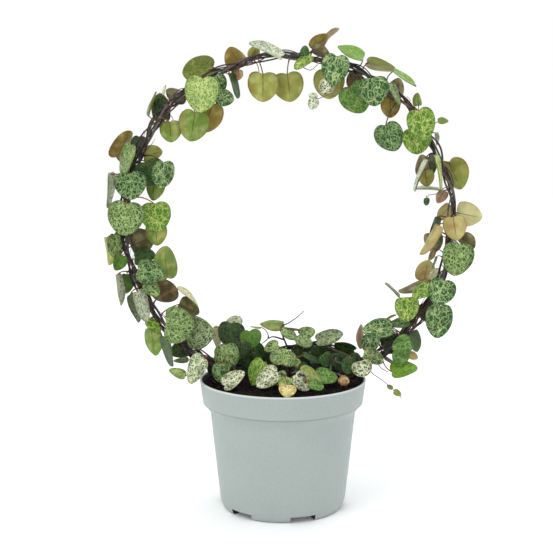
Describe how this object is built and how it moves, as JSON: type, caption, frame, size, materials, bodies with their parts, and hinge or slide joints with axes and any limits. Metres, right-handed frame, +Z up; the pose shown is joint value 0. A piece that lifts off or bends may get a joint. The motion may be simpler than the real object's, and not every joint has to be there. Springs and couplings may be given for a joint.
{
  "type": "potted string of hearts plant",
  "caption": "Trailing vine with small marbled heart-shaped leaves, wound round an upright wire hoop that stands in the soil of a round plastic nursery pot.",
  "frame": {"origin": "middle of the pot's base, in the plane it rests on", "axes": "+Z up, -Y to the front that the picture shows, +X to the right as seen from the front; the hoop stands in the XZ plane"},
  "size_m": [0.2722, 0.1198, 0.343],
  "materials": {
    "pot_plastic": "satin grey-green",
    "soil": "matte, dark, crumbly",
    "hoop_wire": "satin dark green coating",
    "foliage": "satin, green marbled with silver"
  },
  "bodies": {
    "root": {"pot": "pot_plastic", "soil": "soil", "hoop": "hoop_wire", "crossing_vines": "foliage", "sprig_left_back": "foliage", "sprig_left_front": "foliage", "sprig_middle": "foliage", "sprig_middle_left": "foliage", "sprig_right": "foliage", "sprig_right_front": "foliage", "vine_high_left": "foliage", "vine_high_right": "foliage", "vine_left": "foliage", "vine_low_left": "foliage", "vine_low_right": "foliage", "vine_right": "foliage", "vine_top_left": "foliage", "vine_top_right": "foliage", "vine_upper_left": "foliage", "vine_upper_right": "foliage"}
  },
  "joints": []
}
